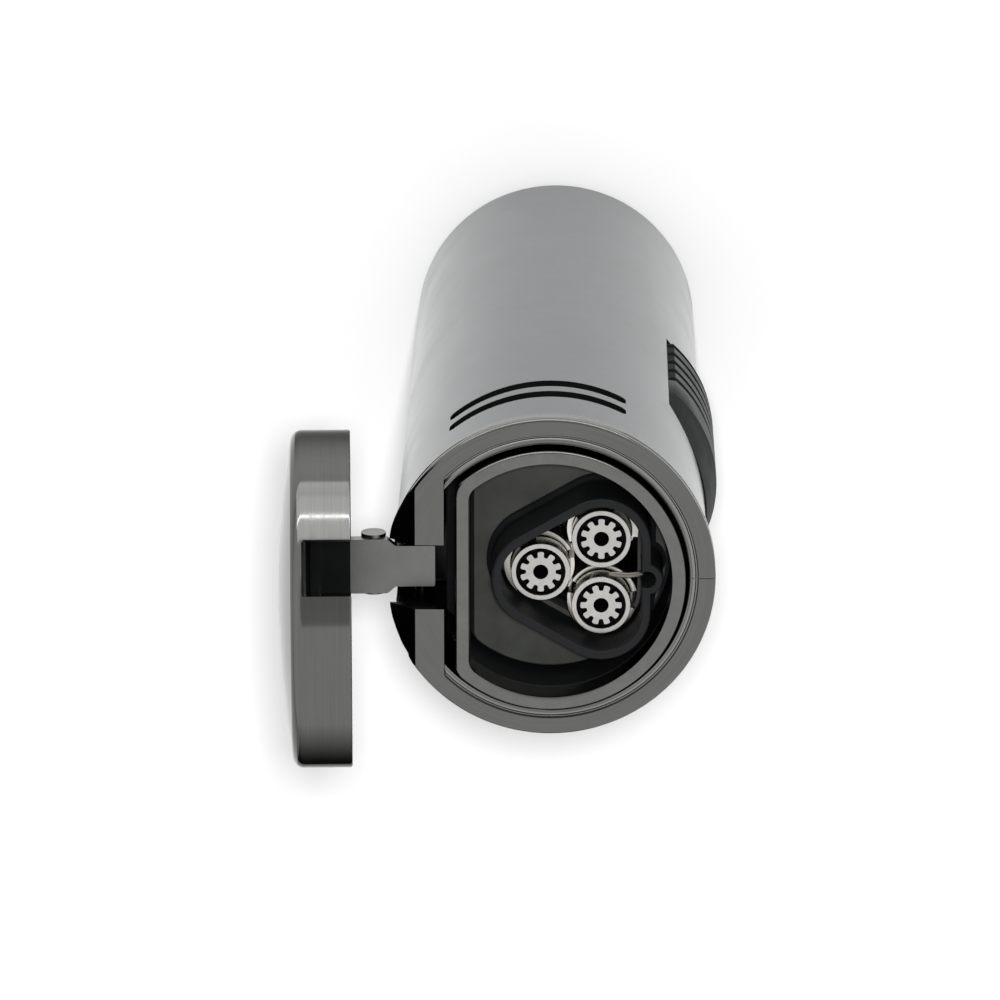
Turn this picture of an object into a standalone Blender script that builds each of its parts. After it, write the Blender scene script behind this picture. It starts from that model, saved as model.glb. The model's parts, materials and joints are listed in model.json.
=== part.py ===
"""Pocket torch lighter with three flames, a hinged lid and a side trigger.

The lighter stands on its base with +Z along the body. The origin is the middle of the
resting face, the lid hinge is on the -X side and the trigger is on the +X side. The lid
stands open at rest. Numbers are in millimetres until MM turns them into metres.
"""

import math

import bmesh
import bpy
from mathutils import Matrix, Vector

MM = 0.001

# Driving dimensions. Heights are measured up from the resting face.
FACE_HEIGHT = 84.0
COLLAR_RADIUS = 14.0
COLLAR_HEIGHT = 2.0
TUBE_RADIUS = 13.4
TUBE_WALL = 0.65
CHAMBER_RADIUS = 11.35
CHAMBER_WALL = 1.15
CHAMBER_FLAT = 8.0
JET_CIRCLE_CENTRES = ((-0.8, 0.0), (4.33, 2.95), (4.33, -2.95))
NOZZLE_RADIUS = 2.53
SLEEVE_RADIUS = 2.9
TRIGGER_HALF_WIDTH = 8.3
TRIGGER_BOTTOM = 40.6
TRIGGER_TOP = 65.4
TRIGGER_RADIUS = 14.6
TRIGGER_CROWN_X = 3.3
LID_RADIUS = 14.1
LID_HEIGHT = 6.1
LID_CLEARANCE = 0.4
HINGE_X = -11.05
HINGE_DROP = 5.6
LID_OPEN_ANGLE = 87.5
TRIGGER_PIVOT = (9.4, 62.6)
LEVER_PIVOT = (-9.0, 63.6)
LIGHTER_GAP = 0.3

# Levels and radii that follow from the driving dimensions.
COLLAR_BOTTOM = FACE_HEIGHT - COLLAR_HEIGHT
TUBE_BORE = TUBE_RADIUS - TUBE_WALL
HINGE_Z = FACE_HEIGHT - HINGE_DROP
RIM_TOP = FACE_HEIGHT + 1.0
RIM_BOTTOM = FACE_HEIGHT - 1.6
FLOOR_TOP = FACE_HEIGHT - 6.0
NOZZLE_TOP = FACE_HEIGHT - 1.6
INSERT_RADIUS = TUBE_BORE - 0.45
GROOVE_RADIUS = CHAMBER_RADIUS + 0.65
LOBE = (8.2, 0.0)

ROUND_STEPS = 48
SMALL_STEPS = 24

parts = None
cutters = None


# --- scene and materials ------------------------------------------------------------


def clear_scene():
    for old in list(bpy.data.objects):
        bpy.data.objects.remove(old, do_unlink=True)


def new_collection(name):
    collection = bpy.data.collections.new(name)
    bpy.context.scene.collection.children.link(collection)
    return collection


def paint(obj, colour, roughness, metallic):
    material = bpy.data.materials.new(obj.name + "_material")
    material.use_nodes = True
    shader = material.node_tree.nodes["Principled BSDF"]
    shader.inputs["Base Color"].default_value = (*colour, 1.0)
    shader.inputs["Roughness"].default_value = roughness
    shader.inputs["Metallic"].default_value = metallic
    obj.data.materials.clear()
    obj.data.materials.append(material)
    return obj


def gunmetal(obj):
    return paint(obj, (0.15, 0.15, 0.145), 0.32, 1.0)


def satin_gunmetal(obj):
    return paint(obj, (0.27, 0.28, 0.285), 0.42, 1.0)


def bright_steel(obj):
    return paint(obj, (0.6, 0.6, 0.59), 0.28, 1.0)


def brass(obj):
    return paint(obj, (0.62, 0.45, 0.2), 0.3, 1.0)


def black_plastic(obj):
    return paint(obj, (0.014, 0.015, 0.017), 0.45, 0.0)


def dark_ceramic(obj):
    return paint(obj, (0.03, 0.031, 0.033), 0.65, 0.0)


def smoke_plastic(obj):
    return paint(obj, (0.16, 0.16, 0.17), 0.2, 0.0)


def white_plastic(obj):
    return paint(obj, (0.72, 0.72, 0.68), 0.4, 0.0)


# --- outlines, in millimetres ---------------------------------------------------------


def arc(centre, radius, start, end, steps):
    """Points from start to end, in degrees, both ends included."""
    points = []
    for index in range(steps + 1):
        angle = math.radians(start + (end - start) * index / steps)
        points.append((centre[0] + radius * math.cos(angle), centre[1] + radius * math.sin(angle)))
    return points


def circle(centre, radius, steps):
    return arc(centre, radius, 0.0, 360.0 - 360.0 / steps, steps - 1)


def flat_sided(radius, flat, corner):
    """A circle with its -X side cut off at x = -flat and the two corners rounded."""
    centre_x = corner - flat
    centre_y = math.sqrt((radius - corner) ** 2 - centre_x**2)
    turn = math.degrees(math.atan2(centre_y, centre_x))
    outline = arc((0.0, 0.0), radius, -turn, turn, 40)
    outline += arc((centre_x, centre_y), corner, turn, 180.0, 5)[1:]
    outline += arc((centre_x, -centre_y), corner, 180.0, 360.0 - turn, 5)[:-1]
    return outline


def around_jets(offset):
    """The triangle of the three jets, grown outward by offset with round corners."""
    left, upper, lower = JET_CIRCLE_CENTRES
    slope = math.degrees(math.atan2(upper[0] - left[0], -(upper[1] - left[1])))
    outline = arc(lower, offset, -slope, 0.0, 8)
    outline += arc(upper, offset, 0.0, slope, 8)
    outline += arc(left, offset, slope, 360.0 - slope, 8)
    return outline


def around_jets_with_lobe(offset, lobe_radius):
    """The same outline with a round lobe for the electrode on its +X side."""
    left, upper, lower = JET_CIRCLE_CENTRES
    slope = math.degrees(math.atan2(upper[0] - left[0], -(upper[1] - left[1])))
    side_x = upper[0] + offset
    half_turn = math.degrees(math.acos((side_x - LOBE[0]) / lobe_radius))
    outline = arc(lower, offset, -slope, 0.0, 8)
    outline += arc(LOBE, lobe_radius, -half_turn, half_turn, 10)
    outline += arc(upper, offset, 0.0, slope, 8)
    outline += arc(left, offset, slope, 360.0 - slope, 8)
    return outline


def arched(half_width, bottom, top, crown_radius):
    """Straight sides with a round top, as (y, z) points."""
    crown_centre = top - crown_radius
    lean = math.degrees(math.acos(half_width / crown_radius))
    outline = [(-half_width, bottom), (half_width, bottom)]
    outline += arc((0.0, crown_centre), crown_radius, lean, 180.0 - lean, 16)
    return outline


# --- solids ---------------------------------------------------------------------------


def place(name, data, centre=(0.0, 0.0, 0.0)):
    obj = bpy.data.objects.new(name, data)
    parts.objects.link(obj)
    obj.location = Vector(centre) * MM
    return obj


def smooth(mesh, degrees=35.0):
    mesh.shade_smooth()
    mesh.set_sharp_from_angle(angle=math.radians(degrees))


def mesh_from(name, build, centre=(0.0, 0.0, 0.0)):
    mesh = bpy.data.meshes.new(name)
    work = bmesh.new()
    build(work)
    work.to_mesh(mesh)
    work.free()
    smooth(mesh)
    return place(name, mesh, centre)


def cylinder(name, radius, bottom, top, xy=(0.0, 0.0), steps=SMALL_STEPS):
    def build(work):
        bmesh.ops.create_cone(
            work,
            cap_ends=True,
            segments=steps,
            radius1=radius * MM,
            radius2=radius * MM,
            depth=(top - bottom) * MM,
        )

    return mesh_from(name, build, (xy[0], xy[1], (bottom + top) / 2))


def cross_pin(name, radius, half_length, x, z, steps=SMALL_STEPS):
    """A cylinder whose axis runs along Y."""
    pin = cylinder(name, radius, -half_length, half_length, steps=steps)
    pin.data.transform(Matrix.Rotation(math.radians(90.0), 4, "X"))
    pin.location = Vector((x, 0.0, z)) * MM
    return pin


def box(name, low, high):
    size = [high[axis] - low[axis] for axis in range(3)]
    centre = [(high[axis] + low[axis]) / 2 for axis in range(3)]

    def build(work):
        bmesh.ops.create_cube(work, size=1.0, matrix=Matrix.Diagonal((*[side * MM for side in size], 1.0)))

    return mesh_from(name, build, centre)


def turned(name, profile, closed, xy=(0.0, 0.0), steps=ROUND_STEPS):
    """A profile of (radius, z) points, turned about Z. It runs down its outer side."""
    mesh = bpy.data.meshes.new(name)
    count = len(profile)
    edges = [(index, index + 1) for index in range(count - 1)]
    if closed:
        edges.append((count - 1, 0))
    mesh.from_pydata([(r * MM, 0.0, z * MM) for r, z in profile], edges, [])
    obj = place(name, mesh, (xy[0], xy[1], 0.0))
    screw = obj.modifiers.new("turn", "SCREW")
    screw.steps = steps
    screw.render_steps = steps
    screw.use_merge_vertices = True
    screw.merge_threshold = 0.00001
    screw.use_smooth_shade = True
    return obj


def plate(name, loops, bottom, top):
    """A flat piece between two levels. Loops inside the first one are holes."""
    curve = bpy.data.curves.new(name, "CURVE")
    curve.dimensions = "2D"
    curve.fill_mode = "BOTH"
    curve.extrude = (top - bottom) / 2 * MM
    for loop in loops:
        spline = curve.splines.new("POLY")
        spline.points.add(len(loop) - 1)
        for point, (x, y) in zip(spline.points, loop):
            point.co = (x * MM, y * MM, 0.0, 1.0)
        spline.use_cyclic_u = True
    return place(name, curve, (0.0, 0.0, (bottom + top) / 2))


def as_mesh(obj):
    """Turns a curve object into a mesh with its caps welded on, so that it can be cut."""
    bpy.context.view_layer.update()
    evaluated = obj.evaluated_get(bpy.context.evaluated_depsgraph_get())
    mesh = bpy.data.meshes.new_from_object(evaluated)
    work = bmesh.new()
    work.from_mesh(mesh)
    bmesh.ops.remove_doubles(work, verts=work.verts, dist=0.000001)
    bmesh.ops.recalc_face_normals(work, faces=work.faces)
    work.to_mesh(mesh)
    work.free()
    smooth(mesh)
    name = obj.name
    matrix = obj.matrix_world.copy()
    bpy.data.objects.remove(obj, do_unlink=True)
    solid = place(name, mesh)
    solid.matrix_world = matrix
    return solid


def side_plate(name, outline, near, far):
    """An outline of (y, z) points made solid from x = near to x = far."""
    solid = as_mesh(plate(name, [outline], 0.0, far - near))
    solid.data.transform(Matrix.Translation((0.0, 0.0, (far - near) / 2 * MM)))
    solid.data.transform(Matrix(((0, 0, 1, 0), (1, 0, 0, 0), (0, 1, 0, 0), (0, 0, 0, 1))))
    solid.location = Vector((near, 0.0, 0.0)) * MM
    return solid


def wire(name, points, radius):
    curve = bpy.data.curves.new(name, "CURVE")
    curve.dimensions = "3D"
    curve.bevel_depth = radius * MM
    curve.bevel_resolution = 2
    curve.use_fill_caps = True
    spline = curve.splines.new("POLY")
    spline.points.add(len(points) - 1)
    for point, position in zip(spline.points, points):
        point.co = (*(Vector(position) * MM), 1.0)
    return place(name, curve)


def bend(corners, radius, steps=4):
    """A path through its corners with each inner corner rounded."""
    path = [Vector(corners[0])]
    for before, corner, after in zip(corners, corners[1:], corners[2:]):
        corner = Vector(corner)
        start = corner + (Vector(before) - corner).normalized() * radius
        end = corner + (Vector(after) - corner).normalized() * radius
        for index in range(steps + 1):
            t = index / steps
            path.append(start * (1 - t) ** 2 + corner * (2 * t * (1 - t)) + end * t**2)
    path.append(Vector(corners[-1]))
    return path


def combine(target, tool, operation):
    """Joins or cuts the target with a tool, which then rides on the target."""
    parts.objects.unlink(tool)
    cutters.objects.link(tool)
    bpy.context.view_layer.update()
    tool.parent = target
    tool.matrix_parent_inverse = target.matrix_world.inverted()
    tool.hide_render = True
    tool.display_type = "WIRE"
    modifier = target.modifiers.new(operation.lower(), "BOOLEAN")
    modifier.operation = operation
    modifier.solver = "EXACT"
    modifier.object = tool


def cut(target, *tools):
    for tool in tools:
        combine(target, tool, "DIFFERENCE")


def fuse(target, *tools):
    for tool in tools:
        combine(target, tool, "UNION")


def pivot(name, x, y, z, members):
    """An empty on a joint's axis that carries the pieces of one moving body."""
    empty = bpy.data.objects.new(name, None)
    empty.empty_display_size = 5 * MM
    parts.objects.link(empty)
    empty.location = Vector((x, y, z)) * MM
    bpy.context.view_layer.update()
    for member in members:
        member.parent = empty
        member.matrix_parent_inverse = empty.matrix_world.inverted()
    return empty


# --- housing --------------------------------------------------------------------------


def make_body_tube():
    fold = 2.4
    lip = 11.3
    outer_corner = arc((TUBE_RADIUS - fold, fold), fold, 0.0, -90.0, 5)
    inner_corner = arc((TUBE_RADIUS - fold, fold), fold - TUBE_WALL, -90.0, 0.0, 5)
    profile = [(TUBE_RADIUS, COLLAR_BOTTOM - LIGHTER_GAP)]
    profile += outer_corner
    profile += [(lip, 0.0), (lip, TUBE_WALL)]
    profile += inner_corner
    profile += [(TUBE_BORE, COLLAR_BOTTOM - LIGHTER_GAP)]
    tube = satin_gunmetal(turned("body_tube", profile, closed=True))
    window = arched(
        TRIGGER_HALF_WIDTH + LIGHTER_GAP, TRIGGER_BOTTOM - 0.75, TRIGGER_TOP + LIGHTER_GAP, 10.3
    )
    cut(tube, side_plate("window_cutter", window, 5.0, 16.0))
    cut(tube, box("arm_slot_cutter", (-16.0, -2.85, HINGE_Z - 1.35), (-9.0, 2.85, 90.0)))
    cut(tube, *vent_cutters())
    return tube


def vent_cutters():
    """Two slots, one above the other, on the +Y and on the -Y side of the tube."""
    slot_height = 1.75
    tools = []
    for side in (1, -1):
        for drop in (9.6, 12.8):
            low_y, high_y = sorted((side * 7.0, side * 16.0))
            middle = FACE_HEIGHT - drop
            low = (-8.7, low_y, middle - slot_height / 2)
            high = (6.4, high_y, middle + slot_height / 2)
            tools.append(box("vent_cutter", low, high))
    return tools


def make_top_collar():
    edge = 0.3
    spigot = TUBE_BORE - 0.25
    spigot_bottom = 75.8
    profile = [
        (0.0, FACE_HEIGHT),
        (COLLAR_RADIUS - edge, FACE_HEIGHT),
        (COLLAR_RADIUS, FACE_HEIGHT - edge),
        (COLLAR_RADIUS, COLLAR_BOTTOM + edge),
        (COLLAR_RADIUS - edge, COLLAR_BOTTOM),
        (spigot, COLLAR_BOTTOM),
        (spigot, spigot_bottom),
        (0.0, spigot_bottom),
    ]
    collar = gunmetal(turned("top_collar", profile, closed=False))
    bore = plate("collar_bore_cutter", [flat_sided(GROOVE_RADIUS, 8.93, 0.6)], 70.0, 90.0)
    cut(collar, as_mesh(bore))
    cut(collar, box("ear_notch_cutter", (-16.0, -2.85, HINGE_Z - 1.95), (-8.0, 2.85, 90.0)))
    cut(collar, cross_pin("hinge_bore_cutter", 0.65, 4.1, HINGE_X, HINGE_Z))
    facet = box("hinge_facet_cutter", (-8.0, -12.0, 0.0), (0.0, 12.0, 8.0))
    facet.location = (0.0, 0.0, 0.0)
    facet.data.transform(Matrix.Translation(Vector((-4.0, 0.0, 0.0)) * MM))
    facet.data.transform(Matrix.Rotation(math.radians(-41.0), 4, "Y"))
    facet.location = Vector((-11.64, 0.0, FACE_HEIGHT)) * MM
    cut(collar, facet)
    return collar


def make_chamber():
    outer = flat_sided(CHAMBER_RADIUS, CHAMBER_FLAT, 1.9)
    inner = flat_sided(CHAMBER_RADIUS - CHAMBER_WALL, CHAMBER_FLAT - CHAMBER_WALL - 0.1, 1.5)
    gunmetal(plate("burner_rim", [outer, inner], RIM_BOTTOM, RIM_TOP))
    dark_ceramic(plate("chamber_wall", [outer, inner], 76.2, RIM_BOTTOM - LIGHTER_GAP))
    wire_hole = circle(LOBE, 0.5, 12)
    floor_edge = flat_sided(CHAMBER_RADIUS - CHAMBER_WALL - 0.3, 6.6, 1.3)
    jet_hole = around_jets(3.1)
    dark_ceramic(plate("chamber_floor", [floor_edge, jet_hole, wire_hole], 77.2, FLOOR_TOP))
    shelf = [outer, jet_hole, wire_hole]
    black_plastic(plate("burner_base", shelf, 74.6, 75.9))
    shroud = [around_jets_with_lobe(4.2, 1.35), around_jets_with_lobe(3.4, 0.72)]
    black_plastic(plate("jet_shroud", shroud, FLOOR_TOP + LIGHTER_GAP, FACE_HEIGHT + 0.5))


# --- burner ---------------------------------------------------------------------------


def petal_wheel(root, tip, petals):
    """A wheel outline with round-ended petals, each a third of its pitch apart."""
    outline = []
    pitch = 360.0 / petals
    for index in range(petals):
        middle = index * pitch
        for share, radius in ((-0.33, root), (-0.3, tip), (0.0, tip + 0.05), (0.3, tip), (0.33, root)):
            angle = math.radians(middle + share * pitch)
            outline.append((radius * math.cos(angle), radius * math.sin(angle)))
    return outline


def make_nozzle(number, centre):
    """A nozzle with a petal wheel inside its ring, on a stem that drops into a sleeve."""
    recess = 0.7
    head_bottom = NOZZLE_TOP - 2.0
    profile = [
        (0.0, NOZZLE_TOP - recess),
        (2.1, NOZZLE_TOP - recess),
        (2.1, NOZZLE_TOP),
        (NOZZLE_RADIUS - 0.1, NOZZLE_TOP),
        (NOZZLE_RADIUS, NOZZLE_TOP - 0.1),
        (NOZZLE_RADIUS, head_bottom),
        (1.9, head_bottom),
        (1.9, 76.0),
        (0.0, 76.0),
    ]
    nozzle = turned(f"jet_nozzle_{number}", profile, closed=False, xy=centre, steps=24)
    wheel = as_mesh(plate(f"wheel_{number}", [petal_wheel(1.42, 1.86, 10)], -recess - 0.3, 0.0))
    wheel.location = wheel.location + Vector((centre[0], centre[1], NOZZLE_TOP)) * MM
    fuse(nozzle, wheel)
    cut(nozzle, cylinder(f"orifice_{number}", 0.65, 80.9, 90.0, centre, steps=16))
    return bright_steel(nozzle)


def make_sleeve(number, centre):
    """A thin sleeve round a nozzle's stem, with air slots cut down from its top."""
    bore = 2.45
    top = NOZZLE_TOP - 2.3
    profile = [(SLEEVE_RADIUS, top), (SLEEVE_RADIUS, 73.5), (bore, 73.5), (bore, top)]
    sleeve = turned(f"jet_sleeve_{number}", profile, closed=True, xy=centre, steps=24)
    for index in range(4):
        slot = box(f"air_slot_{number}_{index}", (-4.0, -0.35, top - 0.9), (4.0, 0.35, top + 1.0))
        slot.rotation_euler.z = math.radians(22.5 + 45.0 * index)
        slot.location = Vector((centre[0], centre[1], top + 0.05)) * MM
        cut(sleeve, slot)
    return bright_steel(sleeve)


def make_burner():
    for number, centre in enumerate(JET_CIRCLE_CENTRES, start=1):
        make_nozzle(number, centre)
        make_sleeve(number, centre)
    tip_level = FACE_HEIGHT - 1.2
    corners = [(LOBE[0], 0.0, 70.0), (LOBE[0], 0.0, tip_level), (5.0, 0.0, tip_level)]
    bright_steel(wire("electrode", bend(corners, 0.7), 0.28))
    brass(plate("gas_manifold", [around_jets(3.2)], 69.5, 73.2))
    tube_corners = [
        (-3.0, 3.2, 57.5),
        (-3.0, 5.6, 57.5),
        (-3.0, 5.6, 68.5),
        (1.0, 1.5, 68.5),
        (1.0, 1.5, 69.2),
    ]
    smoke_plastic(wire("gas_tube", bend(tube_corners, 0.5), 0.6))


# --- frame, tank and valve ------------------------------------------------------------


def make_chassis():
    pivot_x, pivot_z = TRIGGER_PIVOT
    lever_x, lever_z = LEVER_PIVOT
    chassis = cylinder("chassis", INSERT_RADIUS, 66.4, 67.6, steps=48)
    for side in (1, -1):
        low, high = sorted((side * 4.2, side * 5.4))
        fuse(chassis, box("trigger_lug", (8.2, low, pivot_z - 1.3), (pivot_x + 0.95, high, 67.0)))
        low, high = sorted((side * 2.4, side * 3.6))
        fuse(chassis, box("lever_lug", (lever_x - 1.2, low, lever_z - 1.2), (lever_x + 1.2, high, 67.0)))
    cut(chassis, cross_pin("trigger_bore_cutter", 0.75, 6.5, pivot_x, pivot_z))
    cut(chassis, cross_pin("lever_bore_cutter", 0.65, 4.5, lever_x, lever_z))
    cut(chassis, cylinder("gas_hole_cutter", 1.0, 60.0, 70.0, (-3.0, 5.6)))
    cut(chassis, cylinder("wire_hole_cutter", 1.0, 60.0, 70.0, (4.6, -7.0)))
    return black_plastic(chassis)


def make_tank():
    shoulder = 33.0
    top = 54.0
    tank = cylinder("fuel_tank", INSERT_RADIUS, 4.1, top, steps=48)
    cut(tank, box("bay_cutter", (0.0, -20.0, shoulder), (20.0, 20.0, 60.0)))
    cut(tank, cylinder("tank_hollow_cutter", INSERT_RADIUS - 1.2, 0.0, shoulder - 1.2, steps=48))
    hollow = cylinder("upper_hollow_cutter", INSERT_RADIUS - 1.2, shoulder - 3.0, top - 1.2, steps=48)
    cut(hollow, box("hollow_side_cutter", (-1.2, -20.0, 0.0), (20.0, 20.0, 60.0)))
    cut(tank, hollow)
    smoke_plastic(tank)
    holes = [circle((0.0, 5.5), 2.9, 24), circle((0.0, -5.5), 1.5, 16)]
    holes += [circle((x, 0.0), 1.1, 16) for x in (7.5, -7.5)]
    smoke_plastic(plate("tank_floor", [circle((0.0, 0.0), INSERT_RADIUS, 48)] + holes, 2.6, 3.8))


def make_outlet_valve():
    profile = [
        (2.4, 60.4),
        (2.4, 54.3),
        (0.9, 54.3),
        (0.9, 60.4),
    ]
    brass(turned("outlet_valve", profile, closed=True, xy=(-3.0, 0.0), steps=24))
    stem_profile = [
        (0.0, 65.6),
        (1.2, 65.6),
        (1.2, 64.9),
        (0.6, 64.9),
        (0.6, 56.0),
        (0.0, 56.0),
    ]
    bright_steel(turned("valve_stem", stem_profile, closed=False, xy=(-3.0, 0.0), steps=16))


def make_valve_lever():
    lever_x, lever_z = LEVER_PIVOT
    low, high = lever_z - 0.5, lever_z + 0.5
    lever = box("valve_lever", (lever_x - 0.9, -2.0, low), (4.2, 2.0, high))
    fuse(lever, box("lever_end", (2.4, -4.0, low), (4.4, 4.0, high)))
    fuse(lever, cross_pin("lever_knuckle", 1.1, 1.9, lever_x, lever_z))
    cut(lever, cross_pin("lever_pin_cutter", 0.65, 6.0, lever_x, lever_z))
    cut(lever, cylinder("stem_hole_cutter", 0.95, 60.0, 70.0, (-3.0, 0.0)))
    bright_steel(lever)
    pivot("valve_lever_axis", lever_x, 0.0, lever_z, [lever])
    bright_steel(cross_pin("lever_pin", 0.56, 3.5, lever_x, lever_z, steps=16))


# --- trigger and igniter --------------------------------------------------------------


def trigger_profile():
    """The trigger's crowned outer face, finely ribbed near its lower end and flush at its top."""
    ribs = 5
    pitch = 2.68
    depth = 0.55
    outer = TRIGGER_RADIUS - TRIGGER_CROWN_X
    inner = outer - 1.9
    profile = [(outer - 1.1, TRIGGER_TOP + 0.6), (outer, 57.0)]
    first_top = TRIGGER_BOTTOM + (ribs - 1) * pitch + 1.35
    for index in range(ribs):
        top = first_top - index * pitch
        profile += [
            (outer, top),
            (outer - depth, top - 0.35),
            (outer - depth, top - 0.85),
            (outer, top - 1.2),
        ]
    profile += [(outer, TRIGGER_BOTTOM - 0.6), (inner, TRIGGER_BOTTOM - 0.6)]
    profile += [(inner, TRIGGER_TOP + 0.6)]
    return profile


def make_trigger():
    pivot_x, pivot_z = TRIGGER_PIVOT
    crown_axis = (TRIGGER_CROWN_X, 0.0)
    trigger = turned("trigger", trigger_profile(), closed=True, xy=crown_axis, steps=72)
    pad = arched(TRIGGER_HALF_WIDTH, TRIGGER_BOTTOM, TRIGGER_TOP, 10.0)
    combine(trigger, side_plate("trigger_pad", pad, 10.0, 18.0), "INTERSECT")
    for side in (1, -1):
        low, high = sorted((side * 2.4, side * 3.8))
        fuse(trigger, box("trigger_web", (8.2, low, 60.8), (12.3, high, pivot_z + 1.4)))
        fuse(trigger, box("trigger_toe", (2.6, low, 60.8), (8.5, high, 62.8)))
    fuse(trigger, box("trigger_boss", (10.0, -2.0, 48.7), (13.0, 2.0, 51.3)))
    cut(trigger, cross_pin("trigger_pin_cutter", 0.75, 6.0, pivot_x, pivot_z))
    black_plastic(trigger)
    pivot("trigger_axis", pivot_x, 0.0, pivot_z, [trigger])
    bright_steel(cross_pin("trigger_pin", 0.66, 5.2, pivot_x, pivot_z, steps=16))
    make_trigger_spring()


def make_trigger_spring():
    """A torsion spring wound round the trigger's pin, between the webs."""
    pivot_x, pivot_z = TRIGGER_PIVOT
    turns = 4
    per_turn = 12
    coil_radius = 1.1
    points = []
    for index in range(turns * per_turn + 1):
        angle = 2 * math.pi * index / per_turn
        y = -1.7 + 3.4 * index / (turns * per_turn)
        points.append((pivot_x + coil_radius * math.cos(angle), y, pivot_z + coil_radius * math.sin(angle)))
    bright_steel(wire("trigger_spring", points, 0.2))


def make_igniter():
    body = box("piezo_body", (0.4, -4.5, 33.4), (6.2, 4.5, 55.0))
    bore = cylinder("plunger_bore_cutter", 2.1, -2.0, 2.0)
    bore.data.transform(Matrix.Rotation(math.radians(90.0), 4, "Y"))
    bore.location = Vector((6.2, 0.0, 50.0)) * MM
    cut(body, bore)
    white_plastic(body)
    plunger = cylinder("piezo_plunger", 1.9, 0.0, 3.1)
    plunger.data.transform(Matrix.Rotation(math.radians(90.0), 4, "Y"))
    plunger.location = Vector((8.1, 0.0, 50.0)) * MM
    black_plastic(plunger)
    pivot("piezo_plunger_axis", 6.5, 0.0, 50.0, [plunger])
    corners = [
        (3.0, -4.9, 48.0),
        (3.0, -7.0, 48.0),
        (4.6, -7.0, 58.0),
        (4.6, -7.0, 68.3),
        (7.4, -1.0, 68.5),
    ]
    black_plastic(wire("ignition_wire", bend(corners, 0.9), 0.45))


# --- lid ------------------------------------------------------------------------------


def lid_shell():
    """A shallow cap with a crowned top, drawn closed on the collar."""
    rim = FACE_HEIGHT + LID_CLEARANCE
    fillet = 1.0
    crown = LID_HEIGHT - 5.0
    edge_radius = LID_RADIUS - fillet
    shoulder = rim + 5.0
    profile = []
    for index in range(7):
        share = index / 7
        profile.append((edge_radius * share, shoulder + crown * (1 - share**2)))
    profile += arc((edge_radius, shoulder - fillet), fillet, 90.0, 0.0, 5)
    profile += [(LID_RADIUS, rim + 0.15), (LID_RADIUS - 0.15, rim)]
    profile += [(LID_RADIUS - 0.8, rim), (LID_RADIUS - 0.8, rim + 3.9)]
    profile += [(LID_RADIUS - 1.5, rim + 4.6), (0.0, rim + 4.6)]
    shell = gunmetal(turned("lid_shell", profile, closed=False))
    notch = box("lid_notch_cutter", (10.0, -2.35, rim - 2.0), (16.0, 2.35, rim + 4.05))
    notch.location = (0.0, 0.0, notch.location.z)
    notch.data.transform(Matrix.Translation(Vector((13.0, 0.0, 0.0)) * MM))
    notch.rotation_euler.z = math.radians(28.5)
    cut(shell, notch)
    return shell


def arm_outline(low, high):
    """The arm is narrow between the collar's two ears and wide beyond them."""
    narrow = 1.8
    wide = 2.4
    neck = HINGE_Z + 2.5
    half = [(narrow, low), (narrow, neck), (wide, neck + 0.5), (wide, high)]
    return half + [(-y, z) for y, z in reversed(half)]


def lid_arm():
    """The arm from the hinge pin to a foot plate inside the lid."""
    foot_top = FACE_HEIGHT + LID_CLEARANCE + 3.5
    inner_x = HINGE_X + 2.55
    low = HINGE_Z - 1.15
    arm = side_plate("lid_arm", arm_outline(low, foot_top - 0.2), inner_x - 1.0, inner_x)
    fuse(arm, cross_pin("arm_knuckle", 1.15, 1.8, HINGE_X, HINGE_Z))
    fuse(arm, box("arm_web", (HINGE_X, -1.8, low), (inner_x - 0.3, 1.8, HINGE_Z + 1.15)))
    fuse(arm, cross_pin("arm_barrel", 1.2, 2.7, HINGE_X + 1.0, HINGE_Z + 4.05))
    fuse(arm, box("arm_foot", (inner_x - 2.2, -6.0, foot_top - 0.9), (inner_x + 2.6, 6.0, foot_top)))
    cut(arm, cross_pin("arm_bore_cutter", 0.65, 4.0, HINGE_X, HINGE_Z))
    for side in (1, -1):
        cut(arm, cylinder("rivet_hole_cutter", 0.85, 80.0, 95.0, (HINGE_X + 3.0, side * 4.3)))
    return gunmetal(arm)


def lid_liner():
    top = FACE_HEIGHT + LID_CLEARANCE + 4.3
    loops = [circle((0.0, 0.0), 12.4, 48)]
    loops += [circle((HINGE_X + 3.0, side * 4.3), 0.85, 16) for side in (1, -1)]
    return black_plastic(plate("lid_liner", loops, top - 0.5, top))


def lid_rivet(number, side):
    foot_bottom = FACE_HEIGHT + LID_CLEARANCE + 2.6
    profile = [
        (0.0, foot_bottom + 1.6),
        (0.6, foot_bottom + 1.6),
        (0.6, foot_bottom - 0.2),
        (1.3, foot_bottom - 0.2),
        (1.3, foot_bottom - 0.6),
        (0.8, foot_bottom - 0.9),
        (0.0, foot_bottom - 0.9),
    ]
    centre = (HINGE_X + 3.0, side * 4.3)
    return bright_steel(turned(f"lid_rivet_{number}", profile, closed=False, xy=centre, steps=16))


def make_lid():
    pieces = [lid_shell(), lid_arm(), lid_liner(), lid_rivet(1, 1), lid_rivet(2, -1)]
    axis = pivot("lid_axis", HINGE_X, 0.0, HINGE_Z, pieces)
    axis.rotation_euler.y = math.radians(-LID_OPEN_ANGLE)
    bright_steel(cross_pin("hinge_pin", 0.56, 4.0, HINGE_X, HINGE_Z, steps=16))


# --- base -----------------------------------------------------------------------------


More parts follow.
